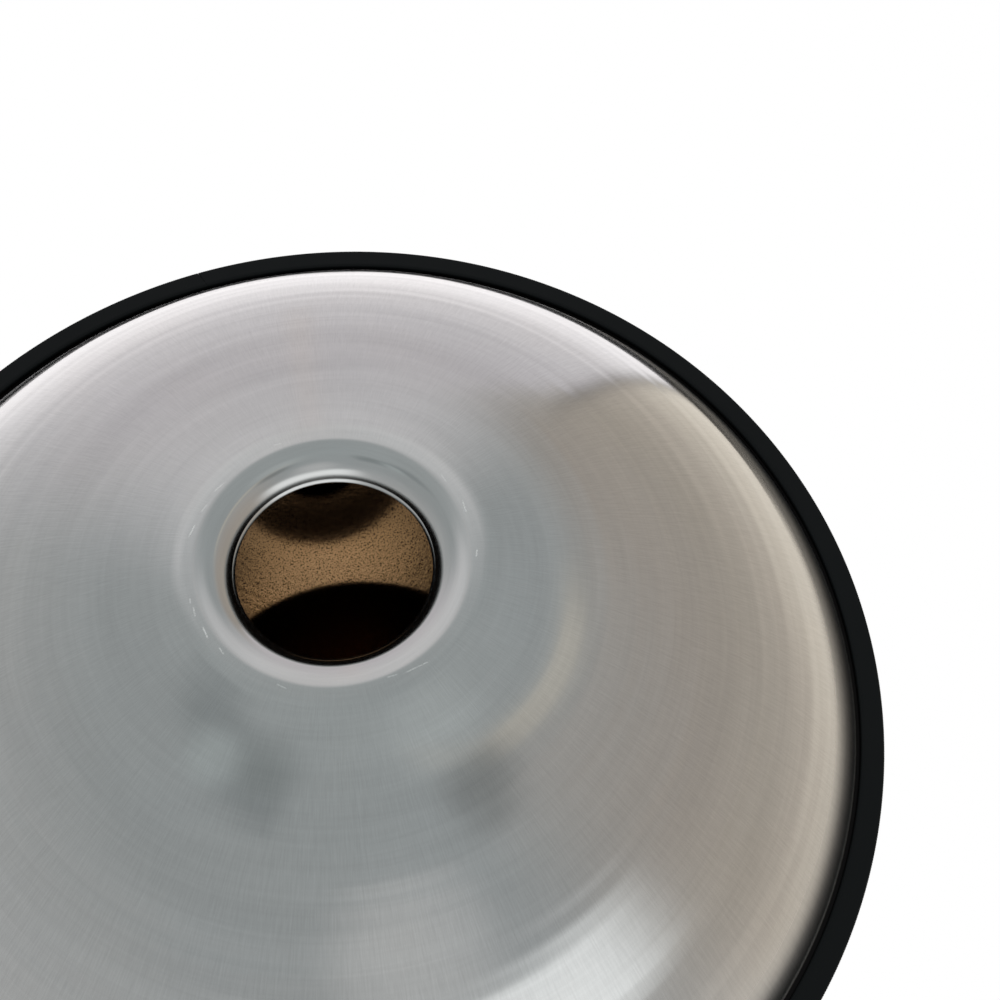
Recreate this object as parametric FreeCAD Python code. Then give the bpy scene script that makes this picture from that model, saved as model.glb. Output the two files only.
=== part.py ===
import FreeCAD, Part
import math
import os
from FreeCAD import Placement, Rotation, Vector

# A handpan: two dished steel shells glued flange to flange, with a rubber edging round the rim.
# Frame, in millimetres: +Z is up in the playing position, with the tone fields on top. The
# resting ring round the port stands on Z = 0, and the axis of the shells is the Z axis.

# Sheet and joint
SHEET = 1.2  # both shells
BOND = 0.4  # adhesive between the flanges
FLANGE_RADIUS = 265.0  # cut edge of both flanges
FLANGE_BEND = 3.0  # outer skin, where the dome meets the flange
BOND_INNER_RADIUS = 256.5

# Lower shell: the port's lip turned into the shell, a shallow funnel, the resting ring, the dome
PORT_RADIUS = 41.4  # at the lip's cut edge
LIP_LAND = 1.4  # narrow bead along the cut edge, where the lip leans in again
LIP_LAND_SLOPE = 45.0  # degrees
LIP_CREASE = 0.5
LIP_WALL = 0.8
LIP_WALL_SLOPE = 62.0
LIP_BEND = 15.0
FUNNEL_SLOPE = 11.0
RING_INNER_BEND = 25.0
RING_INNER_RADIUS = 58.5  # flat face that the pan stands on
RING_WIDTH = 3.0
RING_OUTER_BEND = 25.0
LOWER_DOME = 306.0  # a sphere centred on the axis
LOWER_EDGE_SLOPE = 55.7  # degrees, where the dome meets the flange

# Upper shell: the ding's dome, its flat field, then a dome with the tone fields
DING_DOME = 90.0
DING_DOME_SLOPE = 28.0
DING_FOOT_BEND = 18.0
DING_FIELD_SLOPE = 3.0
DING_KNEE = 20.0
DING_KNEE_SLOPE = 21.5
UPPER_DOME = 300.0  # a sphere centred on the axis
UPPER_EDGE_SLOPE = 57.93

# Tone fields: a hammered flat with a dimple, let into the upper dome
FIELD_COUNT = 8
FIELD_RING_RADIUS = 181.0  # from the axis to each field's middle
FIELD_LARGEST = 59.0
FIELD_STEP = 1.8  # each higher note's field is this much smaller
FIELD_KNEE = 45.0
DIMPLE_SHARE = 0.42  # a dimple's radius over its field's
DIMPLE_BEND = 70.0
DIMPLE_FOOT_BEND = 20.0
LOWEST_NOTE_ANGLE = 91.0  # degrees from +X, next to the player, who sits towards +Y
# Places round the ring in rising order of pitch: the notes climb on both sides by turns.
NOTE_PLACES = (0, -1, 1, -2, 2, -3, 3, 4)

# Rim edging: a rubber channel moulded round a slotted steel clip strip
TRIM_RADIUS = 268.0
TRIM_INNER_RADIUS = 256.5
TRIM_LIP = 2.2  # rubber above and below the flanges
TRIM_EDGE_ROUND = 1.3
TRIM_SEAM_GAP = 0.6
TRIM_SEAM_ANGLE = 79.5
CORE_INNER_RADIUS = 258.6
CORE_OUTER_RADIUS = 266.4
CORE_STEEL = 0.5
CORE_COVER = 1.0  # rubber outside the strip's legs
CORE_SLOTS = 120
CORE_SLOT_WIDTH = 2.4
CORE_SPINE = 1.6  # steel left whole along the strip's back
CORE_END_COVER = 1.5  # rubber between the strip's ends and the seam

CUTTER_REACH = 20.0  # how far cutting tools run past what they cut


def direction(degrees):
    return Vector(math.cos(math.radians(degrees)), 0, math.sin(math.radians(degrees)))


def arc(radius, turn):
    """A bend of the sheet, in degrees: positive turns to the left of the way walked."""
    return ("arc", radius, turn)


def line(length):
    return ("line", length, 0.0)


def step(point, heading, move, inset):
    """The drawn line and the line `inset` to its left, over one move. Gives the place reached, the
    new heading, and the move's edge on the inset line."""
    kind, size, turn = move
    left = direction(heading + 90)
    if kind == "line":
        reached = point + direction(heading) * size
        edge = Part.makeLine(point + left * inset, reached + left * inset)
        return reached, heading, edge
    side = math.copysign(1, turn)
    centre = point + left * (size * side)
    inset_radius = size - side * inset

    def on_arc(part, radius):
        return centre - direction(heading + turn * part + 90) * (radius * side)

    corners = [on_arc(part, inset_radius) for part in (0, 0.5, 1)]
    return on_arc(1, size), heading + turn, Part.Arc(*corners).toShape()


def walk(start, heading, moves, inset=0.0):
    """Walks the moves. Gives the place and heading at the end, and the inset line's edges."""
    edges = []
    for move in moves:
        start, heading, edge = step(start, heading, move, inset)
        edges.append(edge)
    return start, heading, edges


def sheet_of_revolution(start, heading, moves, inset):
    """A sheet whose outer skin is the walked line and whose inner skin lies `inset` to its left,
    turned about the Z axis."""
    end, end_heading, outer = walk(start, heading, moves)
    inner = walk(start, heading, moves, inset)[2]
    root = Part.makeLine(start, start + direction(heading + 90) * inset)
    tip = Part.makeLine(end, end + direction(end_heading + 90) * inset)
    outline = Part.Wire(Part.__sortEdges__(outer + inner + [root, tip]))
    return Part.Face(outline).revolve(Vector(), Vector(0, 0, 1), 360)


def ring(inner_radius, outer_radius, bottom, top):
    disc = Part.makeCylinder(outer_radius, top - bottom, Vector(0, 0, bottom))
    return disc.cut(Part.makeCylinder(inner_radius, top - bottom, Vector(0, 0, bottom)))


def sine(degrees):
    return math.sin(math.radians(degrees))


def cosine(degrees):
    return math.cos(math.radians(degrees))


def moves_to_flange_edge(start, heading, moves):
    """Adds the flange, flat out to its cut edge."""
    reached = walk(start, heading, moves)[0]
    return moves + [line(FLANGE_RADIUS - reached.x)]


def lip_moves():
    """From the port's cut edge, down the lip to the funnel."""
    return [
        line(LIP_LAND),
        arc(LIP_CREASE, LIP_LAND_SLOPE - LIP_WALL_SLOPE),
        line(LIP_WALL),
        arc(LIP_BEND, LIP_WALL_SLOPE - FUNNEL_SLOPE),
    ]


def moves_to_ring():
    """From the port's cut edge, down the lip and the funnel to the resting ring."""
    lip = lip_moves()
    lip_out = walk(Vector(PORT_RADIUS, 0, 0), -LIP_LAND_SLOPE, lip)[0].x
    bend_in = RING_INNER_RADIUS - RING_INNER_BEND * sine(FUNNEL_SLOPE)
    funnel = line((bend_in - lip_out) / cosine(FUNNEL_SLOPE))
    return lip + [funnel, arc(RING_INNER_BEND, FUNNEL_SLOPE)]


def moves_past_ring():
    """From the resting ring's inner edge to where the flange begins."""
    outer_radius = RING_INNER_RADIUS + RING_WIDTH
    dome_slope = math.degrees(math.asin(outer_radius / (LOWER_DOME - RING_OUTER_BEND)))
    return [
        line(RING_WIDTH),
        arc(RING_OUTER_BEND, dome_slope),
        arc(LOWER_DOME, LOWER_EDGE_SLOPE - dome_slope),
        arc(FLANGE_BEND, -LOWER_EDGE_SLOPE),
    ]


def make_lower_shell():
    """Gives the shell and the height of its flange's upper face."""
    heading = -LIP_LAND_SLOPE
    to_ring = moves_to_ring()
    drop = walk(Vector(), heading, to_ring)[0].z
    start = Vector(PORT_RADIUS, 0, -drop)
    moves = moves_to_flange_edge(start, heading, to_ring + moves_past_ring())
    flange_face = walk(start, heading, moves)[0].z + SHEET
    return sheet_of_revolution(start, heading, moves, SHEET), flange_face


def ding_moves():
    """From the axis out to where the upper dome begins."""
    dome_start = UPPER_DOME * sine(DING_KNEE_SLOPE)
    knee_width = DING_KNEE * (sine(DING_KNEE_SLOPE) - sine(DING_FIELD_SLOPE))
    middle = [
        arc(DING_DOME, -DING_DOME_SLOPE),
        arc(DING_FOOT_BEND, DING_DOME_SLOPE - DING_FIELD_SLOPE),
    ]
    foot = walk(Vector(), 0, middle)[0].x
    field = line((dome_start - knee_width - foot) / cosine(DING_FIELD_SLOPE))
    return middle + [field, arc(DING_KNEE, DING_FIELD_SLOPE - DING_KNEE_SLOPE)]


def make_blank_upper_shell(flange_face):
    """The upper shell before its tone fields, and the height of its dome's centre. The flange
    stands on `flange_face`."""
    to_dome = ding_moves()
    dome = arc(UPPER_DOME, DING_KNEE_SLOPE - UPPER_EDGE_SLOPE)
    moves = to_dome + [dome, arc(FLANGE_BEND, UPPER_EDGE_SLOPE)]
    rise = walk(Vector(), 0, moves)[0].z
    start = Vector(0, 0, flange_face + SHEET - rise)
    moves = moves_to_flange_edge(start, 0, moves)
    dome_start = walk(start, 0, to_dome)[0]
    centre = dome_start.z - UPPER_DOME * cosine(DING_KNEE_SLOPE)
    return sheet_of_revolution(start, 0, moves, -SHEET), centre


def field_moves(radius):
    """A tone field from its middle to the dome round it."""
    edge_slope = math.degrees(math.asin(radius / UPPER_DOME))
    dimple = radius * DIMPLE_SHARE
    dimple_slope = math.degrees(math.asin(dimple / (DIMPLE_BEND + DIMPLE_FOOT_BEND)))
    flat = radius - FIELD_KNEE * sine(edge_slope) - dimple
    return [
        arc(DIMPLE_BEND, dimple_slope),
        arc(DIMPLE_FOOT_BEND, -dimple_slope),
        line(flat),
        arc(FIELD_KNEE, -edge_slope),
    ]


def make_field(radius):
    """A tone field about the Z axis, let into a dome centred on the origin."""
    moves = field_moves(radius)
    rise = walk(Vector(), 0, moves)[0].z
    rim = math.sqrt(UPPER_DOME**2 - radius**2)
    return sheet_of_revolution(Vector(0, 0, rim - rise), 0, moves, -SHEET)


def make_field_hole(radius):
    """The cone, from the dome's centre, that clears the sheet where a field goes."""
    rim = math.sqrt(UPPER_DOME**2 - radius**2)
    near = (UPPER_DOME - CUTTER_REACH) / rim
    far = (UPPER_DOME + CUTTER_REACH) / rim
    start = Vector(0, 0, near * rim)
    return Part.makeCone(radius * near, radius * far, 2 * CUTTER_REACH, start)


def field_places(dome_centre):
    """The radius and the placement of each tone field, from the lowest note up."""
    tilt = math.degrees(math.asin(FIELD_RING_RADIUS / UPPER_DOME))
    spacing = 360 / FIELD_COUNT
    for note, place in enumerate(NOTE_PLACES):
        angle = LOWEST_NOTE_ANGLE + place * spacing
        turn = Rotation(Vector(0, 0, 1), angle).multiply(Rotation(Vector(0, 1, 0), tilt))
        yield FIELD_LARGEST - note * FIELD_STEP, Placement(Vector(0, 0, dome_centre), turn)


def make_upper_shell(flange_face):
    shell, dome_centre = make_blank_upper_shell(flange_face)
    # The revolved sheet's seam line is turned to lie between two fields.
    shell.rotate(Vector(), Vector(0, 0, 1), LOWEST_NOTE_ANGLE + 180 / FIELD_COUNT)
    for radius, placement in field_places(dome_centre):
        hole = make_field_hole(radius)
        hole.Placement = placement
        field = make_field(radius)
        field.Placement = placement
        shell = shell.cut(hole).fuse(field)
    return shell


def seam_cutter(width, middle):
    """A block across the edging at its butt joint."""
    depth = TRIM_RADIUS - TRIM_INNER_RADIUS + 2 * CUTTER_REACH
    corner = Vector(TRIM_INNER_RADIUS - CUTTER_REACH, -width / 2, middle - CUTTER_REACH)
    block = Part.makeBox(depth, width, 2 * CUTTER_REACH, corner)
    block.rotate(Vector(), Vector(0, 0, 1), TRIM_SEAM_ANGLE)
    return block


def make_trim_core(middle):
    """The steel strip inside the rubber: a channel, slotted from the tips of its legs."""
    half = SHEET + BOND / 2 + TRIM_LIP - CORE_COVER
    strip = ring(CORE_INNER_RADIUS, CORE_OUTER_RADIUS, middle - half, middle + half)
    inside = half - CORE_STEEL
    back = CORE_OUTER_RADIUS - CORE_STEEL
    strip = strip.cut(ring(CORE_INNER_RADIUS, back, middle - inside, middle + inside))
    slots = []
    for number in range(CORE_SLOTS):
        corner = Vector(CORE_INNER_RADIUS - CUTTER_REACH, -CORE_SLOT_WIDTH / 2, middle - half)
        length = CORE_OUTER_RADIUS - CORE_SPINE - corner.x
        slot = Part.makeBox(length, CORE_SLOT_WIDTH, 2 * half, corner)
        slot.rotate(Vector(), Vector(0, 0, 1), TRIM_SEAM_ANGLE + number * 360 / CORE_SLOTS)
        slots.append(slot)
    slots.append(seam_cutter(TRIM_SEAM_GAP + 2 * CORE_END_COVER, middle))
    return strip.cut(Part.makeCompound(slots))


def make_trim(middle, core):
    """The rubber channel over both flanges, with its butt joint."""
    half = SHEET + BOND / 2
    body = ring(TRIM_INNER_RADIUS, TRIM_RADIUS, middle - half - TRIM_LIP, middle + half + TRIM_LIP)
    body = body.makeFillet(TRIM_EDGE_ROUND, [e for e in body.Edges if e.Length > TRIM_RADIUS])
    groove = ring(TRIM_INNER_RADIUS - CUTTER_REACH, FLANGE_RADIUS, middle - half, middle + half)
    return body.cut(groove).cut(seam_cutter(TRIM_SEAM_GAP, middle)).cut(core)


def export(name, shape):
    shape.exportStep(f"parts/{name}.step")
    print(name, "valid", shape.isValid(), "solids", len(shape.Solids), "cm3", shape.Volume / 1000)


def main():
    os.makedirs("parts", exist_ok=True)
    lower_shell, flange_face = make_lower_shell()
    middle = flange_face + BOND / 2
    core = make_trim_core(middle)
    export("lower_shell", lower_shell)
    export("upper_shell", make_upper_shell(flange_face + BOND))
    bond = ring(BOND_INNER_RADIUS, FLANGE_RADIUS, flange_face, flange_face + BOND)
    export("bond_ring", bond)
    export("trim_core", core)
    export("rim_trim", make_trim(middle, core))


main()
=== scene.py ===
import math

import bpy
import numpy as np
from mathutils import Euler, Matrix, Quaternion, Vector


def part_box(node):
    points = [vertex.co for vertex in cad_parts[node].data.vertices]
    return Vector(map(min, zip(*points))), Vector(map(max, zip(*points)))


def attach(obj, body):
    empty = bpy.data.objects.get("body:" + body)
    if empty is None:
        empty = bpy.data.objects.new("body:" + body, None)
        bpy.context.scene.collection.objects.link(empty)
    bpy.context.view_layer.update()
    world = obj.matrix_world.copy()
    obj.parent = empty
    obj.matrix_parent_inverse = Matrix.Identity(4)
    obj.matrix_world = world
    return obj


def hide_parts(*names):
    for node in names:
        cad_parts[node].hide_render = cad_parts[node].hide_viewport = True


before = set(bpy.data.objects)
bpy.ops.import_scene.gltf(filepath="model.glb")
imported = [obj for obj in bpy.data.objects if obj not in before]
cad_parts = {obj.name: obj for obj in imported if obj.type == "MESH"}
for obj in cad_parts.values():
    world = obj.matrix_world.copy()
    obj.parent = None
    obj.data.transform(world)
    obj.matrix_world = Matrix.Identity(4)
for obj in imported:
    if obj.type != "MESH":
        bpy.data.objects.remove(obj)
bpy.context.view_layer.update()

# A handpan in its playing position, seen from below: metres, +Z up, standing on its resting ring.
MM = 0.001

# Sheet, and the rim's places from the frame
SHEET = 1.2 * MM
RIM_LOW, RIM_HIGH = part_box("rim_trim")
BOND_LOW, BOND_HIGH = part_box("bond_ring")
RIM_RADIUS = RIM_HIGH.x
RIM_MIDDLE = (RIM_LOW.z + RIM_HIGH.z) / 2
FLANGE_RADIUS = BOND_HIGH.x
FLANGE_BEND = 3.0 * MM
# The rounded cut edge: rows at shares of the sheet's thickness across and outwards
EDGE_ROWS = ((0.1, 0.2), (0.3, 0.3), (0.7, 0.3), (0.9, 0.2))

# Lower shell
PORT_RADIUS = 41.4 * MM
LIP_LAND = 1.4 * MM
LIP_LAND_SLOPE = 45.0
LIP_CREASE = 0.5 * MM
LIP_WALL = 0.8 * MM
LIP_WALL_SLOPE = 62.0
LIP_BEND = 15.0 * MM
FUNNEL_SLOPE = 11.0
RING_BEND = 25.0 * MM
RING_RADIUS = 58.5 * MM
RING_WIDTH = 3.0 * MM
LOWER_DOME = 306.0 * MM
LOWER_EDGE_SLOPE = 55.7

# Upper shell
DING_DOME = 90.0 * MM
DING_DOME_SLOPE = 28.0
DING_FOOT_BEND = 18.0 * MM
DING_FIELD_SLOPE = 3.0
DING_KNEE = 20.0 * MM
DING_KNEE_SLOPE = 21.5
UPPER_DOME = 300.0 * MM
UPPER_EDGE_SLOPE = 57.93

# Tone fields
FIELD_COUNT = 8
FIELD_RING_RADIUS = 181.0 * MM
FIELD_LARGEST = 59.0 * MM
FIELD_STEP = 1.8 * MM
FIELD_LENGTH = 1.06  # along the ring, over the field's radius
FIELD_WIDTH = 0.95
FIELD_EDGE_SOFTNESS = 0.16
DIMPLE_SHARE = 0.42  # the dimple's size over the field's
DIMPLE_DEPTH = 3.3 * MM
DIMPLE_EDGE_SOFTNESS = 0.12
LOWEST_NOTE_ANGLE = 91.0
NOTE_PLACES = (0, -1, 1, -2, 2, -3, 3, 4)

# Rim edging
TRIM_INNER_RADIUS = 256.5 * MM
TRIM_ROUND = 1.3 * MM
TRIM_LIP_ROUND = 0.8 * MM
TRIM_MOUTH_ROUND = 0.3 * MM
RIB_PITCH = 1.25 * MM
RIB_HEIGHT = 0.12 * MM
SEAM_ANGLE = 79.5
SEAM_SKEW = 13.0
SEAM_SKEW_REACH = 0.08  # radians over which the skew dies away
SEAM_GAP_OUTSIDE = 0.55 * MM
SEAM_GAP_INSIDE = 0.02 * MM

# Meshes
SKIN_PITCH = 1.6 * MM
RING_PITCH = 0.6 * MM
SEGMENTS = 480
BEND_PITCH = 6.0  # degrees turned between two rows of points at most

# Faint unevenness of the worked sheet: waves of (length, phase), all with the same slope
RIPPLES = ((10.4 * MM, 0.0), (7.7 * MM, 1.9), (15.3 * MM, 4.1))
RIPPLE_SLOPE = 0.012
RIPPLE_DRIFT = 1.5 * MM
RIPPLES_BEGIN = 75.0 * MM
RIPPLES_FULL = 150.0 * MM
RING_FREE = 64.0 * MM  # no unevenness inside this radius, so that the ring stands flat
FLANGE_FREE = 252.0 * MM  # nor outside this one
SKIN_FADE = 20.0 * MM
DENTS = ((95.0 * MM, 20, 0.3), (71.0 * MM, 85, 2.2), (83.0 * MM, 140, 4.4), (62.0 * MM, 165, 1.1))
DENT_SLOPE = 0.003

# Short scuffs where the pan has stood: (direction in degrees, length in degrees, radius, strength)
SCUFFS = (
    (44, 7, 59.4 * MM, 0.7),
    (33, 5, 59.3 * MM, 0.5),
    (22, 7, 60.1 * MM, 0.9),
    (-9, 3, 60.2 * MM, 0.5),
    (-14, 5, 60.1 * MM, 0.7),
    (-24, 6, 60.1 * MM, 0.9),
    (-34, 4, 59.7 * MM, 0.6),
    (-105, 5, 58.6 * MM, 0.5),
    (-115, 12, 60.4 * MM, 0.6),
    (-171, 4, 59.6 * MM, 0.9),
    (167, 7, 59.7 * MM, 0.8),
    (151, 5, 59.5 * MM, 0.5),
    (75, 4, 60.3 * MM, 0.3),
    (-62, 5, 59.8 * MM, 0.4),
)
SCUFF_WIDTH = 0.45 * MM  # from a stroke's middle to its edge
SCUFF_CORE = 3  # its full part is this many times narrower
SCUFF_SLANT = 0.15
SCUFF_HEIGHTS = (6 * MM, 3 * MM)

# Brushed steel: marks as (how fine round the axis, how fine along a radius)
HAIRS = (240, 110)
RINGS = (2.5, 620)
BANDS = (0.9, 80)
CLOUD_SCALE = 11.0
HAIR_SHADE = (0.89, 1.11)
RING_SHADE = (0.94, 1.06)
BAND_SHADE = (0.91, 1.09)
EVEN = (0.5, 0.5, 0.5)  # the hairs' middle value, where there are none
COOL_STEEL = (0.590, 0.596, 0.598)
WARM_STEEL = (0.610, 0.598, 0.582)
CHIP_SCALE = 1400.0
CHIP_EDGES = (0.30, 0.55)
CHIP_COLOUR = (0.95, 0.95, 0.93)
CHIP_ROUGHNESS = 0.25
# Painted shade: near-black steel in the gap where the shell runs in under the trim
GAP_SHADE_COLOUR = (0.012, 0.011, 0.011)
# Radii and heights that a look fades in between, the second where it is full
OFF_LIP = (50 * MM, 66 * MM)
ON_LIP = (49 * MM, 44 * MM)
NEAR_RIM = (230 * MM, 246 * MM)
UNDER_TRIM = (253.4 * MM, 254.4 * MM)
LOW_FACE = (RIM_MIDDLE - 9 * MM, RIM_MIDDLE - 6 * MM)
POLISHED = 0.13  # roughness over the dome
SCRATCHED = 0.36  # and along its edge
LIP_WEAR = 0.3  # how far the lip goes from polished to scratched
STEEL_GRAIN = 0.5  # anisotropy
STEEL_BUMP = (0.12, 0.02 * MM)  # strength and depth

# Bronze patina, with painted light round the ding and painted shade further out and below the rim
PATINA_CLOUDS = 14.0
PATINA_SPECKS = 1500.0
PATINA_PITS = 1100.0
PIT_EDGES = (0.33, 0.45)
DARK_BRONZE = (0.62, 0.33, 0.155)
PALE_BRONZE = (0.80, 0.47, 0.235)
PIT_COLOUR = (0.16, 0.09, 0.04)
SPECK_SHADE = (0.7, 1.3)
# Painted light round the ding, where light through the port falls, and painted shade further out
# towards the rim
PAINTED_POOL_RADII = (105 * MM, 160 * MM)
PAINTED_POOL_SHADE = (1.2, 0.45)  # painted light inside the first radius and painted shade outside the second
# Painted shade: the inside of the sheet below the rim, down in the cavity, goes nearly black
CAVITY_SHADE_HEIGHTS = (RIM_MIDDLE + 8 * MM, RIM_MIDDLE - 8 * MM)
CAVITY_SHADE_COLOUR = (0.012, 0.01, 0.008)
CAVITY_SHADE_SHARE = 0.92
HAMMER_SCALE = 320.0
HAMMER_BUMP = (0.5, 0.1 * MM)
PATINA_ROUGHNESS = (0.13, 0.20)

# Rubber of the edging
RUBBER_CLOUDS = 60.0
RUBBER_GRAIN = 2400.0
DARK_RUBBER = (0.0030, 0.0042, 0.0048)
PALE_RUBBER = (0.005, 0.0068, 0.0076)
RUBBER_BUMP = (0.4, 0.05 * MM)
RUBBER_ROUGHNESS = (0.55, 0.72)
RUBBER_SPECULAR = 0.18

# Glue and the edging's clip strip
GLUE_CLOUDS = 90.0
GLUE_BUBBLES = 700.0
DARK_GLUE = (0.22, 0.17, 0.10)
PALE_GLUE = (0.36, 0.30, 0.20)
GLUE_BUMP = (0.6, 0.1 * MM)
GLUE_ROUGHNESS = (0.35, 0.6)
CLIP_GRAIN = (25, 3000)
DARK_CLIP = (0.36, 0.36, 0.37)
PALE_CLIP = (0.55, 0.55, 0.55)
CLIP_ROUGHNESS = (0.3, 0.5)

# Camera, in rim radii from the middle of the rim
CAMERA_PLACE = Vector((0.024, -0.9317, -2.3071))
CAMERA_AIM = Vector((-0.3543, 0.3117, 0.0))
CAMERA_ROLL = -174.3
CAMERA_LENS = 47.27
CAMERA_SENSOR = 36
CAMERA_NEAREST = 0.01

# Studio light: radiance by the angle from straight down, in degrees
WORLD_STRENGTH = 1.5
ROOM_LIGHT = (
    (0, (0.43, 0.47, 0.475)),
    (50, (0.42, 0.45, 0.455)),
    (90, (0.55, 0.56, 0.56)),
    (120, (0.85, 0.85, 0.85)),
    (180, (1.1, 1.1, 1.1)),
)
WHITE_WALL = (
    (20, (0.72, 0.74, 0.75)),
    (45, (0.78, 0.78, 0.79)),
    (80, (0.69, 0.665, 0.69)),
    (95, (0.78, 0.755, 0.78)),
    (105, (0.89, 0.86, 0.88)),
    (115, (1.12, 1.085, 1.10)),
    (128, (1.22, 1.185, 1.195)),
)
WARM_WALL = (
    (40, (0.47, 0.46, 0.44)),
    (70, (0.47, 0.43, 0.385)),
    (90, (0.50, 0.455, 0.395)),
    (102, (0.62, 0.56, 0.485)),
    (112, (0.80, 0.73, 0.63)),
    (125, (0.95, 0.88, 0.77)),
)
CORNER = 128.5  # direction of the corner between the two walls
CORNER_SOFT = 0.7
CORNER_FALLS = (94.0, 62.0)  # it widens and shifts from the first of these down to the second
CORNER_SHIFT = 9.0
CORNER_SPREAD = 22.0  # times as wide
CORNER_WIDTH = 2.2
CORNER_SHADE = 0.5
CORNER_SHADE_FALLS = (70.0, 92.0)
# The walls' far sides, by the turn from the corner, and their feet
WHITE_SIDE = (-92.0, -58.0)
WHITE_FOOT_TILT = (0, 0.9, 0.45)
WHITE_FOOT = (-0.05, 0.07)
WARM_SIDE = (115.0, 75.0)
WARM_FOOT_LEAN = 0.4
WARM_FOOT = (56.0, 74.0)
# Lines on the walls and the floor: (middle, (reach, full)), in degrees
WALL_SEAM = (-37.5, (2.2, 0.5))
WALL_SEAM_FALLS = (104.0, 94.0)
WALL_SEAM_SHARE = 0.6
WALL_SEAM_LIGHT = (0.52, 0.48, 0.47)
FOOT_LINE = (62.0, (5.0, 1.0))
FOOT_LINE_STARTS = (20.0, 45.0)
FOOT_LINE_ENDS = (120.0, 90.0)
FOOT_LINE_LIGHT = (0.40, 0.385, 0.345)
DARK_ARC = (26.0, (9.0, 2.0))
DARK_ARC_TURNS = (-88.0, -125.0)
DARK_ARC_SHARE = 0.8
DARK_ARC_LIGHT = (0.19, 0.21, 0.215)
# Soft patches of the floor: (towards, degrees across, light, strength)
FLOOR_SPOTS = (
    ((-0.36, -0.36, -0.86), 11, (0.16, 0.17, 0.17), 0.8),
    ((-0.25, -0.18, -0.95), 13, (0.37, 0.40, 0.40), 0.6),
    ((0.30, -0.20, -0.93), 9, (0.17, 0.19, 0.19), 0.7),
    ((0.46, -0.12, -0.88), 7, (0.36, 0.40, 0.40), 0.7),
    ((-0.05, -0.78, -0.62), 20, (0.42, 0.43, 0.43), 0.9),
)
# The lamp behind the camera, by its turn past the corner and its angle from straight down
LAMP_TURN = (134.0, (50.0, 25.0))
LAMP_FALL = (74.0, (14.0, 5.0))
LAMP_LIGHT = (1.15, 1.18, 1.18)

# Floor
FLOOR_SIZE = 8.0
FLOOR_DROP = 1.0 * MM
FLOOR_PATCHES = 3.0
DARK_FLOOR = (0.74, 0.74, 0.73)
PALE_FLOOR = (0.78, 0.78, 0.77)
FLOOR_ROUGHNESS = 0.8


def turned(degrees):
    """Unit vectors in the (radius, height) plane."""
    radians = np.radians(degrees)
    return np.stack([np.cos(radians), np.sin(radians)], axis=-1)


def bend(radius, turn, pitch=SKIN_PITCH):
    return (radius * math.radians(abs(turn)), turn, pitch)


def run(length, pitch=SKIN_PITCH):
    return (length, 0.0, pitch)


def walk(start, heading, moves):
    """Points along straight runs and tangent bends, and the heading at each. Every move is its
    length, how far it turns to the left in degrees, and the longest step between points."""
    points = [np.array(start, float)]
    headings = [heading]
    for length, turn, pitch in moves:
        steps = max(1, math.ceil(length / pitch), math.ceil(abs(turn) / BEND_PITCH))
        part = turn / steps
        half = math.radians(part / 2)
        chord = length / steps * (math.sin(half) / half if turn else 1.0)
        for _ in range(steps):
            points.append(points[-1] + turned(headings[-1] + part / 2) * chord)
            headings.append(headings[-1] + part)
    return np.array(points), np.array(headings)


def sine(degrees):
    return math.sin(math.radians(degrees))


def cosine(degrees):
    return math.cos(math.radians(degrees))


def angles():
    return np.linspace(0, 2 * math.pi, SEGMENTS, endpoint=False)


def spun(points):
    """Rows of points round the Z axis, one row for each (radius, height)."""
    turn = angles()
    radius, height = points[:, :1], points[:, 1:]
    flat = np.ones_like(turn)
    return np.stack([radius * np.cos(turn), radius * np.sin(turn), height * flat], axis=-1)


def add_piece(name, vertices, faces, materials, face_materials):
    mesh = bpy.data.meshes.new(name)
    mesh.from_pydata(vertices.reshape(-1, 3).tolist(), [], faces)
    for material in materials:
        mesh.materials.append(material)
    mesh.polygons.foreach_set("material_index", face_materials)
    mesh.shade_smooth()
    mesh.update()
    piece = bpy.data.objects.new(name, mesh)
    bpy.context.scene.collection.objects.link(piece)
    return piece


def band_faces(rows, columns, closed):
    """Quads between rows of points that each go once round."""
    faces = []
    for row in range(rows if closed else rows - 1):
        here = row * columns
        there = (row + 1) % rows * columns
        for column in range(columns):
            beside = (column + 1) % columns
            faces.append((here + column, here + beside, there + beside, there + column))
    return faces


def edge_rows(outer, inner, outward):
    """The rounded cut edge of the sheet, from the outer skin to the inner one."""
    rows = []
    for across, along in EDGE_ROWS:
        rows.append(outer + (inner - outer) * across + outward * along * SHEET)
    return rows


def dents(x, y):
    """Long soft waves over the sheet."""
    total = 0
    for length, direction, phase in DENTS:
        along = x * cosine(direction) + y * sine(direction)
        total = total + length * np.sin(along / length * 2 * math.pi + phase)
    return total * DENT_SLOPE / (2 * math.pi)


def ripples(x, y):
    """Concentric waves left by the forming, stronger towards the rim."""
    radius = np.hypot(x, y)
    turn = np.arctan2(y, x)
    total = 0
    for length, phase in RIPPLES:
        drift = RIPPLE_DRIFT * (np.sin(turn + phase) + np.sin(3 * turn + 2 * phase) / 2)
        total = total + length * np.sin((radius + drift) / length * 2 * math.pi + phase)
    share = np.clip((radius - RIPPLES_BEGIN) / (RIPPLES_FULL - RIPPLES_BEGIN), 0, 1)
    return total * share * RIPPLE_SLOPE / (2 * math.pi)


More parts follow.
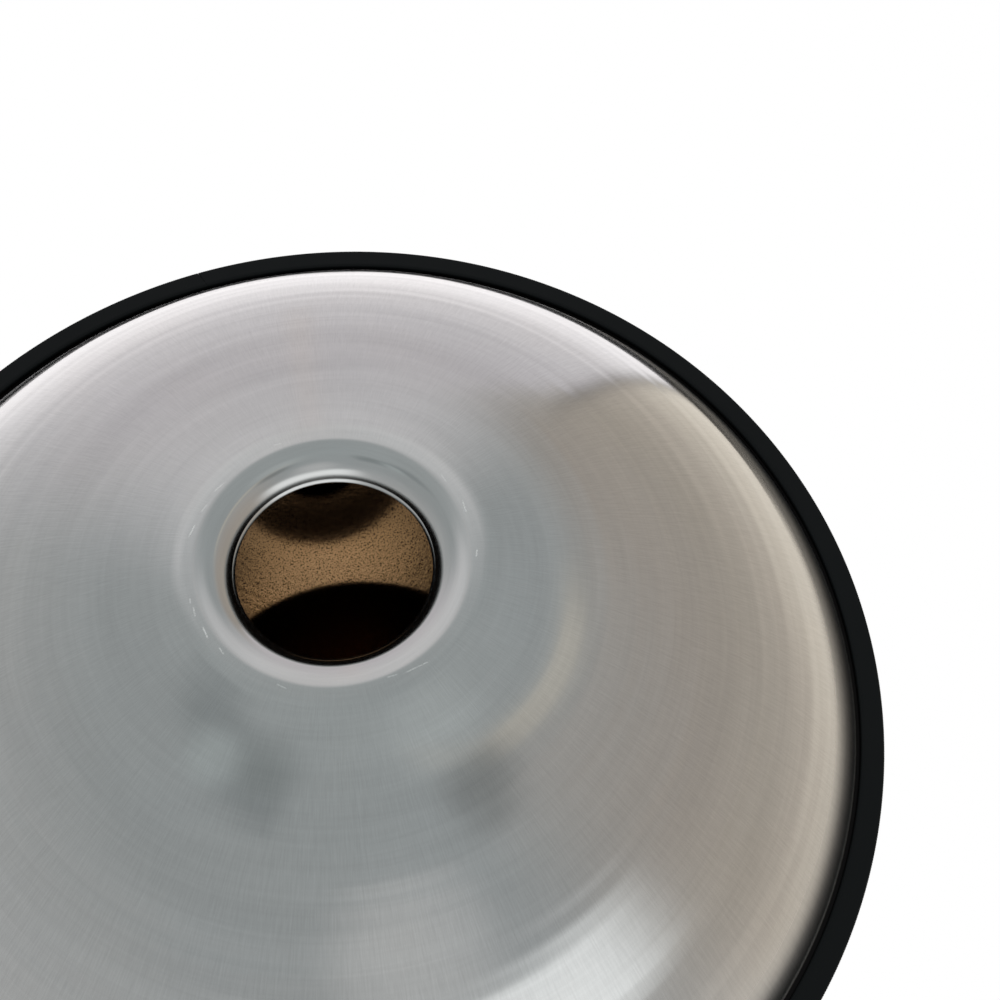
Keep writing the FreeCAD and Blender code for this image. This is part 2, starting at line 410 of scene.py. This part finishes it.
def lower_moves():
    """The lower shell's outer skin, from the port's cut edge to where the flange begins."""
    lip = [
        run(LIP_LAND),
        bend(LIP_CREASE, LIP_LAND_SLOPE - LIP_WALL_SLOPE),
        run(LIP_WALL),
        bend(LIP_BEND, LIP_WALL_SLOPE - FUNNEL_SLOPE, RING_PITCH),
    ]
    lip_out = walk((PORT_RADIUS, 0), -LIP_LAND_SLOPE, lip)[0][-1, 0]
    bend_in = RING_RADIUS - RING_BEND * sine(FUNNEL_SLOPE)
    dome_slope = math.degrees(math.asin((RING_RADIUS + RING_WIDTH) / (LOWER_DOME - RING_BEND)))
    return lip + [
        run((bend_in - lip_out) / cosine(FUNNEL_SLOPE)),
        bend(RING_BEND, FUNNEL_SLOPE, RING_PITCH),
        run(RING_WIDTH, RING_PITCH),
        bend(RING_BEND, dome_slope, RING_PITCH),
        bend(LOWER_DOME, LOWER_EDGE_SLOPE - dome_slope),
        bend(FLANGE_BEND, -LOWER_EDGE_SLOPE),
    ]


def flange_run(start, heading, moves):
    """The straight run that takes the moves on to the flange's cut edge."""
    return run(FLANGE_RADIUS - walk(start, heading, moves)[0][-1, 0])


def make_lower_shell(outside, inside):
    moves = lower_moves()
    moves.append(flange_run((PORT_RADIUS, 0), -LIP_LAND_SLOPE, moves))
    points, headings = walk((PORT_RADIUS, 0), -LIP_LAND_SLOPE, moves)
    points[:, 1] -= points[:, 1].min()
    normals = turned(headings - 90)
    outer = spun(points)
    inner = spun(points - normals * SHEET)
    along = spun(turned(headings))
    free = np.clip((points[:, 0] - RING_FREE) / RING_FREE, 0, 1)
    free = free * np.clip((FLANGE_FREE - points[:, 0]) / SKIN_FADE, 0, 1)
    push = spun(normals) * free[:, None, None]
    bulge = dents(outer[..., :1], outer[..., 1:2])
    outer = outer + push * (bulge + ripples(outer[..., :1], outer[..., 1:2]))
    inner = inner + push * bulge
    rows = list(outer) + edge_rows(outer[-1], inner[-1], along[-1])
    rows += list(inner[::-1]) + edge_rows(inner[0], outer[0], -along[0])
    count = len(points)
    faces = band_faces(len(rows), SEGMENTS, closed=True)
    kinds = np.zeros(len(faces), int)
    first_inner = (count + len(EDGE_ROWS)) * SEGMENTS
    kinds[first_inner : first_inner + (count - 1) * SEGMENTS] = 1
    faces = [face[::-1] for face in faces]
    return add_piece("lower_shell_skin", np.array(rows), faces, [outside, inside], kinds)


def upper_points():
    """The upper shell's outer skin from the axis out, the headings, and its dome's centre."""
    dome_start = UPPER_DOME * sine(DING_KNEE_SLOPE)
    knee = DING_KNEE * (sine(DING_KNEE_SLOPE) - sine(DING_FIELD_SLOPE))
    moves = [
        bend(DING_DOME, -DING_DOME_SLOPE),
        bend(DING_FOOT_BEND, DING_DOME_SLOPE - DING_FIELD_SLOPE),
    ]
    foot = walk((0, 0), 0, moves)[0][-1, 0]
    moves.append(run((dome_start - knee - foot) / cosine(DING_FIELD_SLOPE)))
    moves.append(bend(DING_KNEE, DING_FIELD_SLOPE - DING_KNEE_SLOPE))
    to_dome = walk((0, 0), 0, moves)[0][-1, 1]
    moves.append(bend(UPPER_DOME, DING_KNEE_SLOPE - UPPER_EDGE_SLOPE))
    moves.append(bend(FLANGE_BEND, UPPER_EDGE_SLOPE))
    moves.append(flange_run((0, 0), 0, moves))
    points, headings = walk((0, 0), 0, moves)
    lift = BOND_HIGH.z + SHEET - points[-1, 1]
    points[:, 1] += lift
    return points, headings, to_dome + lift - UPPER_DOME * cosine(DING_KNEE_SLOPE)


def soft_bowl(share, softness):
    """1 - share squared, levelling out softly to nothing where it would turn negative."""
    return softness * np.logaddexp(0, (1 - share) / softness)


def field_depth(toward):
    """How far the tone fields sink the sheet, at unit vectors from the dome's centre."""
    depth = np.zeros(toward.shape[:-1])
    tilt = math.degrees(math.asin(FIELD_RING_RADIUS / UPPER_DOME))
    for note, place in enumerate(NOTE_PLACES):
        radius = FIELD_LARGEST - note * FIELD_STEP
        turn = math.radians(LOWEST_NOTE_ANGLE + place * 360 / FIELD_COUNT)
        axes = Euler((0, math.radians(tilt), turn)).to_matrix()
        across = toward @ np.array(axes.col[0]) * UPPER_DOME
        along = toward @ np.array(axes.col[1]) * UPPER_DOME
        facing = toward @ np.array(axes.col[2]) > 0
        share = (along / (radius * FIELD_LENGTH)) ** 2 + (across / (radius * FIELD_WIDTH)) ** 2
        sag = radius**2 / (2 * UPPER_DOME)
        depth += facing * sag * soft_bowl(share, FIELD_EDGE_SOFTNESS)
        share = share / DIMPLE_SHARE**2
        depth += facing * DIMPLE_DEPTH * soft_bowl(share, DIMPLE_EDGE_SOFTNESS)
    return depth


def make_upper_shell(outside, inside):
    points, headings, centre = upper_points()
    outer = spun(points)
    inner = spun(points - turned(headings + 90) * SHEET)
    middle = np.array([0, 0, centre])
    toward = (outer - middle) / np.linalg.norm(outer - middle, axis=-1, keepdims=True)
    sink = toward * field_depth(toward)[..., None]
    outer = outer - sink
    inner = inner - sink
    along = spun(turned(headings))
    rows = list(outer[1:]) + edge_rows(outer[-1], inner[-1], along[-1]) + list(inner[:0:-1])
    vertices = np.concatenate([np.array(rows).reshape(-1, 3), [outer[0, 0], inner[0, 0]]])
    faces = [face[::-1] for face in band_faces(len(rows), SEGMENTS, closed=False)]
    kinds = [0] * ((len(points) - 1 + len(EDGE_ROWS)) * SEGMENTS)
    kinds += [1] * (len(faces) - len(kinds))
    top = len(rows) * SEGMENTS
    last = (len(rows) - 1) * SEGMENTS
    for column in range(SEGMENTS):
        beside = (column + 1) % SEGMENTS
        faces.append((top, column, beside))
        faces.append((top + 1, last + beside, last + column))
        kinds += [0, 1]
    return add_piece("upper_shell_skin", vertices, faces, [outside, inside], np.array(kinds))


def trim_outline():
    """The edging's section, walked with its outside on the right, and where it bears ribs."""
    half = (RIM_HIGH.z - RIM_LOW.z) / 2
    stack = SHEET + (BOND_HIGH.z - BOND_LOW.z) / 2
    face = RIM_RADIUS - TRIM_INNER_RADIUS - TRIM_ROUND - TRIM_LIP_ROUND
    lip = half - stack - TRIM_LIP_ROUND - TRIM_MOUTH_ROUND
    groove = FLANGE_RADIUS - TRIM_INNER_RADIUS - TRIM_MOUTH_ROUND
    ribbed = [run(face), bend(TRIM_ROUND, 90), run(2 * (half - TRIM_ROUND))]
    ribbed += [bend(TRIM_ROUND, 90), run(face)]
    plain = [bend(TRIM_LIP_ROUND, 90), run(lip), bend(TRIM_MOUTH_ROUND, 90), run(groove)]
    start = (TRIM_INNER_RADIUS + TRIM_LIP_ROUND, RIM_MIDDLE - half)
    ribbed_points, ribbed_headings = walk(start, 0, ribbed)
    above, above_headings = walk(ribbed_points[-1], 180, plain)
    # Below the ribbed part, the section mirrors what is above it and is walked backwards.
    mirror = above[::-1] * np.array([1, -1]) + np.array([0, 2 * RIM_MIDDLE])
    points = np.concatenate([ribbed_points, above[1:], mirror[:-1]])
    headings = np.concatenate([ribbed_headings, above_headings[1:], 540 - above_headings[:0:-1]])
    bears = np.arange(len(points)) < len(ribbed_points)
    return points, headings, bears


def make_trim(rubber):
    points, headings, bears = trim_outline()
    ribs = round(2 * math.pi * RIM_RADIUS / RIB_PITCH)
    columns = 2 * ribs + 1
    part = np.linspace(0, 1, columns)[:, None]
    share = (points[:, 0] - TRIM_INNER_RADIUS) / (RIM_RADIUS - TRIM_INNER_RADIUS)
    gap = SEAM_GAP_INSIDE + (SEAM_GAP_OUTSIDE - SEAM_GAP_INSIDE) * np.clip(share, 0, 1) ** 2
    opening = gap / points[:, 0] / 2
    slant = math.tan(math.radians(SEAM_SKEW)) * (RIM_RADIUS - points[:, 0]) / points[:, 0]
    from_seam = 2 * math.pi * np.minimum(part, 1 - part)
    slant = slant * np.clip(1 - from_seam / SEAM_SKEW_REACH, 0, 1)
    turn = math.radians(SEAM_ANGLE) + 2 * math.pi * part + (1 - 2 * part) * opening + slant
    height = np.where(np.arange(columns) % 2, RIB_HEIGHT, 0.0)[:, None] * bears
    section = points + turned(headings - 90) * height[..., None] - [RIB_HEIGHT, 0]
    vertices = np.stack(
        [section[..., 0] * np.cos(turn), section[..., 0] * np.sin(turn), section[..., 1]], axis=-1
    )
    size = len(points)
    faces = []
    for column in range(columns - 1):
        here = column * size
        for point in range(size):
            beside = (point + 1) % size
            faces.append((here + point, here + beside, here + size + beside, here + size + point))
    faces.append(tuple(range(size))[::-1])
    faces.append(tuple(range((columns - 1) * size, columns * size)))
    kinds = np.zeros(len(faces), int)
    return add_piece("rim_trim_ribbed", vertices, [f[::-1] for f in faces], [rubber], kinds)


def node(tree, kind, **settings):
    """A node with its attributes and its inputs set. An input given a socket is linked."""
    made = tree.nodes.new("ShaderNode" + kind)
    for key, value in settings.items():
        if hasattr(made, key):
            setattr(made, key, value)
            continue
        is_numbered = key[0] == "i" and key[1:].isdigit()
        socket = made.inputs[int(key[1:]) if is_numbered else key]
        if isinstance(value, bpy.types.NodeSocket):
            tree.links.new(value, socket)
        else:
            socket.default_value = value
    return made


def numbered(values):
    return {f"i{place}": value for place, value in enumerate(values)}


def maths(tree, operation, *values):
    return node(tree, "Math", operation=operation, **numbered(values)).outputs[0]


def product(tree, first, *others):
    """The first value times all the others."""
    for other in others:
        first = maths(tree, "MULTIPLY", first, other)
    return first


def vector(tree, operation, *values):
    made = node(tree, "VectorMath", operation=operation, **numbered(values))
    return made.outputs["Value" if operation in ("DOT_PRODUCT", "LENGTH") else "Vector"]


def soft_step(tree, value, low, high):
    made = node(tree, "MapRange", interpolation_type="SMOOTHSTEP", Value=value)
    made.inputs["From Min"].default_value = low
    made.inputs["From Max"].default_value = high
    return made.outputs[0]


def near(tree, value, middle, edges):
    """Fades in as the value comes near the middle, between two distances from it."""
    off = maths(tree, "ABSOLUTE", maths(tree, "ADD", value, -middle))
    return soft_step(tree, off, *edges)


def ranged(tree, value, low, high):
    """Carries 0 to 1 over to low to high."""
    made = node(tree, "MapRange", Value=value)
    made.inputs["To Min"].default_value = low
    made.inputs["To Max"].default_value = high
    return made.outputs[0]


def noise(tree, at, scale, detail=2.0, roughness=0.5):
    made = node(tree, "TexNoise", Vector=at, Scale=scale, Detail=detail, Roughness=roughness)
    return made.outputs["Fac"]


def opaque(colour):
    return colour if isinstance(colour, bpy.types.NodeSocket) else (*colour, 1)


def blend(tree, share, first, second, kind="MIX"):
    made = node(tree, "Mix", data_type="RGBA", blend_type=kind, clamp_factor=True)
    for socket, value in ((0, share), (6, opaque(first)), (7, opaque(second))):
        if isinstance(value, bpy.types.NodeSocket):
            tree.links.new(value, made.inputs[socket])
        else:
            made.inputs[socket].default_value = value
    return made.outputs[2]


def ramp(tree, share, stops):
    """A colour ramp with stops at (place, colour)."""
    made = node(tree, "ValToRGB", Fac=share)
    elements = made.color_ramp.elements
    while len(elements) < len(stops):
        elements.new(0.5)
    for element, (place, colour) in zip(elements, stops):
        element.position = place
        element.color = (*colour, 1)
    return made.outputs["Color"]


def new_material(name):
    material = bpy.data.materials.new(name)
    material.use_nodes = True
    tree = material.node_tree
    return material, tree, tree.nodes["Principled BSDF"]


def link(tree, shader, **sockets):
    for name, socket in sockets.items():
        tree.links.new(socket, shader.inputs[name.replace("_", " ")])


def round_axis(tree):
    """The place on the object, its distance from the axis, and its unit direction from it."""
    place = node(tree, "TexCoord").outputs["Object"]
    flat = vector(tree, "MULTIPLY", place, (1, 1, 0))
    return place, vector(tree, "LENGTH", flat), vector(tree, "NORMALIZE", flat)


def bumped(tree, height, strength, depth):
    return node(tree, "Bump", Strength=strength, Distance=depth, Height=height).outputs[0]


def height_of(tree, place):
    return vector(tree, "DOT_PRODUCT", place, (0, 0, 1))


def round_and_out(tree, radius, toward, fine_round, fine_out):
    """Coordinates for marks on the lathe's axis: how fine they are round it and away from it."""
    around = vector(tree, "SCALE", toward)
    around.node.inputs["Scale"].default_value = fine_round
    outward = node(tree, "CombineXYZ", Z=maths(tree, "MULTIPLY", radius, fine_out)).outputs[0]
    return vector(tree, "ADD", around, outward)


def scuff_strokes(tree, place):
    """The strokes where the pan has stood: their strength on a stroke, 0 elsewhere."""
    strokes = 0.0
    for direction, length, radius, strength in SCUFFS:
        outward = Vector((cosine(direction), sine(direction), 0))
        onward = Vector((-sine(direction), cosine(direction), 0))
        half_length = math.radians(length / 2) * radius
        off = vector(tree, "SUBTRACT", place, outward * radius)
        across = vector(tree, "DOT_PRODUCT", off, outward + onward * SCUFF_SLANT)
        along = vector(tree, "DOT_PRODUCT", off, onward)
        across = near(tree, across, 0, (SCUFF_WIDTH, SCUFF_WIDTH / SCUFF_CORE))
        along = near(tree, along, 0, (half_length, half_length / 2))
        strokes = maths(tree, "MAXIMUM", strokes, product(tree, across, along, strength))
    return product(tree, strokes, soft_step(tree, height_of(tree, place), *SCUFF_HEIGHTS))


def steel_outside():
    """Stainless sheet brushed outwards from the port, over faint rings from the lathe."""
    material, tree, shader = new_material("brushed_steel_outside")
    place, radius, toward = round_axis(tree)
    hairs = noise(tree, round_and_out(tree, radius, toward, *HAIRS), 1.0, 2.0)
    hairs = blend(tree, soft_step(tree, radius, *OFF_LIP), EVEN, hairs)
    rings = noise(tree, round_and_out(tree, radius, toward, *RINGS), 1.0, 2.0)
    bands = noise(tree, round_and_out(tree, radius, toward, *BANDS), 1.0, 1.0)
    steel = blend(tree, noise(tree, place, CLOUD_SCALE, 3.0), COOL_STEEL, WARM_STEEL)
    shades = ((hairs, HAIR_SHADE), (rings, RING_SHADE), (bands, BAND_SHADE))
    shade = product(tree, *(ranged(tree, marks, *reach) for marks, reach in shades))
    steel = blend(tree, 1.0, steel, shade, "MULTIPLY")

    chips = soft_step(tree, noise(tree, place, CHIP_SCALE), *CHIP_EDGES)
    broken = product(tree, scuff_strokes(tree, place), chips)
    steel = blend(tree, broken, steel, CHIP_COLOUR)
    # Painted shade: the outer steel goes near black where it runs in under the trim, in the gap
    # between shell and trim
    low_face = soft_step(tree, height_of(tree, place), *LOW_FACE)
    gap_shade = product(tree, low_face, soft_step(tree, radius, *UNDER_TRIM))
    steel = blend(tree, gap_shade, steel, GAP_SHADE_COLOUR)

    near_rim = soft_step(tree, radius, *NEAR_RIM)
    on_lip = soft_step(tree, radius, *ON_LIP)
    worn = maths(tree, "ADD", near_rim, product(tree, on_lip, LIP_WEAR))
    roughness = ranged(tree, worn, POLISHED, SCRATCHED)
    roughness = maths(tree, "ADD", roughness, product(tree, broken, CHIP_ROUGHNESS))
    link(tree, shader, Base_Color=steel, Roughness=roughness)
    link(tree, shader, Normal=bumped(tree, hairs, *STEEL_BUMP))
    link(tree, shader, Tangent=node(tree, "Tangent", direction_type="RADIAL", axis="Z").outputs[0])
    shader.inputs["Metallic"].default_value = 1.0
    shader.inputs["Anisotropic"].default_value = STEEL_GRAIN
    return material


def steel_inside():
    """Sheet with the bronze patina that the heat leaves, mottled by the hammer, with painted light
    round the ding, painted shade further out and painted shade, nearly black, below the rim."""
    material, tree, shader = new_material("bronze_patina_painted_light_inside")
    place, radius, _ = round_axis(tree)
    clouds = noise(tree, place, PATINA_CLOUDS, 4.0)
    specks = ranged(tree, noise(tree, place, PATINA_SPECKS, 1.0), *SPECK_SHADE)
    pits = soft_step(tree, noise(tree, place, PATINA_PITS, 1.0), *PIT_EDGES)
    bronze = blend(tree, clouds, DARK_BRONZE, PALE_BRONZE)
    bronze = blend(tree, 1.0, bronze, specks, "MULTIPLY")
    bronze = blend(tree, pits, PIT_COLOUR, bronze)
    # Painted light and shade: brighter round the ding, where light through the port falls, darker
    # further out
    outward = ranged(tree, soft_step(tree, radius, *PAINTED_POOL_RADII), *PAINTED_POOL_SHADE)
    bronze = blend(tree, 1.0, bronze, outward, "MULTIPLY")
    # Painted shade: nearly black on the inside below the rim, down in the cavity
    cavity_shade = soft_step(tree, height_of(tree, place), *CAVITY_SHADE_HEIGHTS)
    bronze = blend(tree, product(tree, cavity_shade, CAVITY_SHADE_SHARE), bronze, CAVITY_SHADE_COLOUR)
    blows = noise(tree, place, HAMMER_SCALE, 3.0)
    link(tree, shader, Base_Color=bronze, Normal=bumped(tree, blows, *HAMMER_BUMP))
    link(tree, shader, Roughness=ranged(tree, clouds, *PATINA_ROUGHNESS))
    shader.inputs["Metallic"].default_value = 1.0
    return material


def rubber():
    """Black rubber, matt and very slightly blotched."""
    material, tree, shader = new_material("edge_rubber")
    place = node(tree, "TexCoord").outputs["Object"]
    clouds = noise(tree, place, RUBBER_CLOUDS, 4.0)
    grain = noise(tree, place, RUBBER_GRAIN, 3.0)
    link(tree, shader, Base_Color=blend(tree, clouds, DARK_RUBBER, PALE_RUBBER))
    link(tree, shader, Normal=bumped(tree, grain, *RUBBER_BUMP))
    link(tree, shader, Roughness=ranged(tree, clouds, *RUBBER_ROUGHNESS))
    shader.inputs["Specular IOR Level"].default_value = RUBBER_SPECULAR
    return material


def adhesive():
    """Cured glue with a few bubbles."""
    material, tree, shader = new_material("cured_adhesive")
    place = node(tree, "TexCoord").outputs["Object"]
    clouds = noise(tree, place, GLUE_CLOUDS, 3.0)
    bubbles = node(tree, "TexVoronoi", Vector=place, Scale=GLUE_BUBBLES).outputs["Distance"]
    link(tree, shader, Base_Color=blend(tree, clouds, DARK_GLUE, PALE_GLUE))
    link(tree, shader, Normal=bumped(tree, bubbles, *GLUE_BUMP))
    link(tree, shader, Roughness=ranged(tree, clouds, *GLUE_ROUGHNESS))
    return material


def clip_steel():
    """Rolled strip, with its grain along the rim."""
    material, tree, shader = new_material("rolled_clip_steel")
    _, radius, toward = round_axis(tree)
    grain = noise(tree, round_and_out(tree, radius, toward, *CLIP_GRAIN), 1.0, 3.0)
    link(tree, shader, Base_Color=blend(tree, grain, DARK_CLIP, PALE_CLIP))
    link(tree, shader, Roughness=ranged(tree, grain, *CLIP_ROUGHNESS))
    shader.inputs["Metallic"].default_value = 1.0
    return material


def give_material(cad_node, material):
    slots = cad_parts[cad_node].data.materials
    slots.clear()
    slots.append(material)


def make_object():
    outside, inside = steel_outside(), steel_inside()
    pieces = {
        "lower_shell": (make_lower_shell(outside, inside), "stainless_sheet"),
        "upper_shell": (make_upper_shell(outside, inside), "stainless_sheet"),
        "rim_trim": (make_trim(rubber()), "edge_rubber"),
    }
    for cad_node, (piece, slot) in pieces.items():
        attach(piece, "root")
        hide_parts(cad_node)
    give_material("bond_ring", adhesive())
    give_material("trim_core", clip_steel())


def make_camera():
    camera = bpy.data.objects.new("camera", bpy.data.cameras.new("camera"))
    bpy.context.scene.collection.objects.link(camera)
    rim = Vector((0, 0, RIM_MIDDLE))
    camera.location = rim + CAMERA_PLACE * RIM_RADIUS
    way = rim + CAMERA_AIM * RIM_RADIUS - camera.location
    roll = Quaternion((0, 0, 1), math.radians(CAMERA_ROLL))
    camera.rotation_mode = "QUATERNION"
    camera.rotation_quaternion = way.to_track_quat("-Z", "Y") @ roll
    camera.data.lens = CAMERA_LENS
    camera.data.sensor_width = CAMERA_SENSOR
    camera.data.clip_start = CAMERA_NEAREST
    bpy.context.scene.camera = camera


def dimmed(colour):
    """A colour that comes out right once the world's strength multiplies it."""
    return [part / WORLD_STRENGTH for part in colour]


def by_fall(tree, fall, stops):
    """Light that changes with the angle from straight down, from stops at (degrees, colour)."""
    places = [(degrees / 180, dimmed(colour)) for degrees, colour in stops]
    return ramp(tree, maths(tree, "DIVIDE", fall, 180), places)


def fall_and_turn(tree, toward):
    """The angle from straight down, and the turn past the walls' corner, in degrees."""
    fall = maths(tree, "ARCCOSINE", vector(tree, "DOT_PRODUCT", toward, (0, 0, -1)))
    ahead = vector(tree, "DOT_PRODUCT", toward, (cosine(CORNER), sine(CORNER), 0))
    aside = vector(tree, "DOT_PRODUCT", toward, (-sine(CORNER), cosine(CORNER), 0))
    turn = maths(tree, "ARCTAN2", aside, ahead)
    return maths(tree, "DEGREES", fall), maths(tree, "DEGREES", turn)


def wall_shares(tree, toward, fall, turn, leaning):
    """Where the white wall is seen, before the corner, and the warm one, past it."""
    lower = soft_step(tree, fall, *CORNER_FALLS)
    shifted = maths(tree, "ADD", turn, product(tree, lower, CORNER_SHIFT))
    narrowed = maths(tree, "DIVIDE", shifted, ranged(tree, lower, 1.0, CORNER_SPREAD))
    past_corner = soft_step(tree, narrowed, -CORNER_SOFT, CORNER_SOFT)
    before_corner = maths(tree, "SUBTRACT", 1.0, past_corner)
    above_foot = soft_step(tree, vector(tree, "DOT_PRODUCT", toward, WHITE_FOOT_TILT), *WHITE_FOOT)
    white = product(tree, before_corner, soft_step(tree, turn, *WHITE_SIDE), above_foot)
    above_foot = soft_step(tree, leaning, *WARM_FOOT)
    warm = product(tree, past_corner, soft_step(tree, turn, *WARM_SIDE), above_foot)
    return white, warm


def add_lines(tree, light, fall, turn, leaning, white):
    """A seam in the white wall, a line along the warm one's foot and a dark arc on the floor."""
    seam = product(tree, near(tree, turn, *WALL_SEAM), soft_step(tree, fall, *WALL_SEAM_FALLS))
    light = blend(tree, product(tree, seam, white, WALL_SEAM_SHARE), light, WALL_SEAM_LIGHT)
    line = product(tree, near(tree, leaning, *FOOT_LINE), soft_step(tree, turn, *FOOT_LINE_STARTS))
    line = product(tree, line, soft_step(tree, turn, *FOOT_LINE_ENDS))
    light = blend(tree, line, light, FOOT_LINE_LIGHT)
    arc = product(tree, near(tree, fall, *DARK_ARC), soft_step(tree, turn, *DARK_ARC_TURNS))
    return blend(tree, product(tree, arc, DARK_ARC_SHARE), light, DARK_ARC_LIGHT)


def add_floor_spots(tree, light, toward):
    for spot, reach, shade, strength in FLOOR_SPOTS:
        place = vector(tree, "DOT_PRODUCT", toward, spot)
        share = product(tree, soft_step(tree, place, cosine(reach), 1.0), strength)
        light = blend(tree, share, light, shade)
    return light


def make_world():
    """A white studio: floor light below, a white wall and a warm one that meet at a corner, and a
    lamp behind the camera. The camera itself sees plain white."""
    world = bpy.data.worlds.new("studio")
    bpy.context.scene.world = world
    world.use_nodes = True
    tree = world.node_tree
    toward = node(tree, "TexCoord").outputs["Generated"]
    fall, turn = fall_and_turn(tree, toward)
    leaning = maths(tree, "ADD", fall, product(tree, turn, WARM_FOOT_LEAN))
    white, warm = wall_shares(tree, toward, fall, turn, leaning)
    lamp = product(tree, near(tree, turn, *LAMP_TURN), near(tree, fall, *LAMP_FALL))

    light = by_fall(tree, fall, ROOM_LIGHT)
    light = blend(tree, white, light, by_fall(tree, fall, WHITE_WALL))
    light = blend(tree, warm, light, by_fall(tree, fall, WARM_WALL))
    light = blend(tree, lamp, light, dimmed(LAMP_LIGHT))
    light = add_lines(tree, light, fall, turn, leaning, white)
    light = add_floor_spots(tree, light, toward)
    corner = product(
        tree,
        near(tree, turn, 0, (CORNER_WIDTH, 0.0)),
        soft_step(tree, fall, *CORNER_SHADE_FALLS),
        CORNER_SHADE,
    )
    light = blend(tree, corner, light, (0, 0, 0))
    seen = node(tree, "LightPath").outputs["Is Camera Ray"]
    light = blend(tree, seen, light, dimmed((1, 1, 1)))
    background = tree.nodes["Background"]
    tree.links.new(light, background.inputs["Color"])
    background.inputs["Strength"].default_value = WORLD_STRENGTH
    bpy.context.scene.view_settings.view_transform = "Standard"


def make_floor():
    """A pale floor just under the pan. It is open from below, where the camera looks from."""
    reach = FLOOR_SIZE / 2
    corners = [(-reach, -reach), (reach, -reach), (reach, reach), (-reach, reach)]
    mesh = bpy.data.meshes.new("floor")
    mesh.from_pydata([(x, y, -FLOOR_DROP) for x, y in corners], [], [(0, 1, 2, 3)])
    material, tree, shader = new_material("floor")
    place = node(tree, "TexCoord").outputs["Object"]
    patches = noise(tree, place, FLOOR_PATCHES, 3.0)
    link(tree, shader, Base_Color=blend(tree, patches, DARK_FLOOR, PALE_FLOOR))
    shader.inputs["Roughness"].default_value = FLOOR_ROUGHNESS
    open_below = node(tree, "MixShader", i0=node(tree, "NewGeometry").outputs["Backfacing"])
    tree.links.new(shader.outputs[0], open_below.inputs[1])
    tree.links.new(node(tree, "BsdfTransparent").outputs[0], open_below.inputs[2])
    tree.links.new(open_below.outputs[0], tree.nodes["Material Output"].inputs["Surface"])
    mesh.materials.append(material)
    floor = bpy.data.objects.new("floor", mesh)
    bpy.context.scene.collection.objects.link(floor)
    floor.visible_diffuse = False
    floor.visible_glossy = False
    floor.visible_shadow = False


make_object()
make_camera()
make_world()
make_floor()
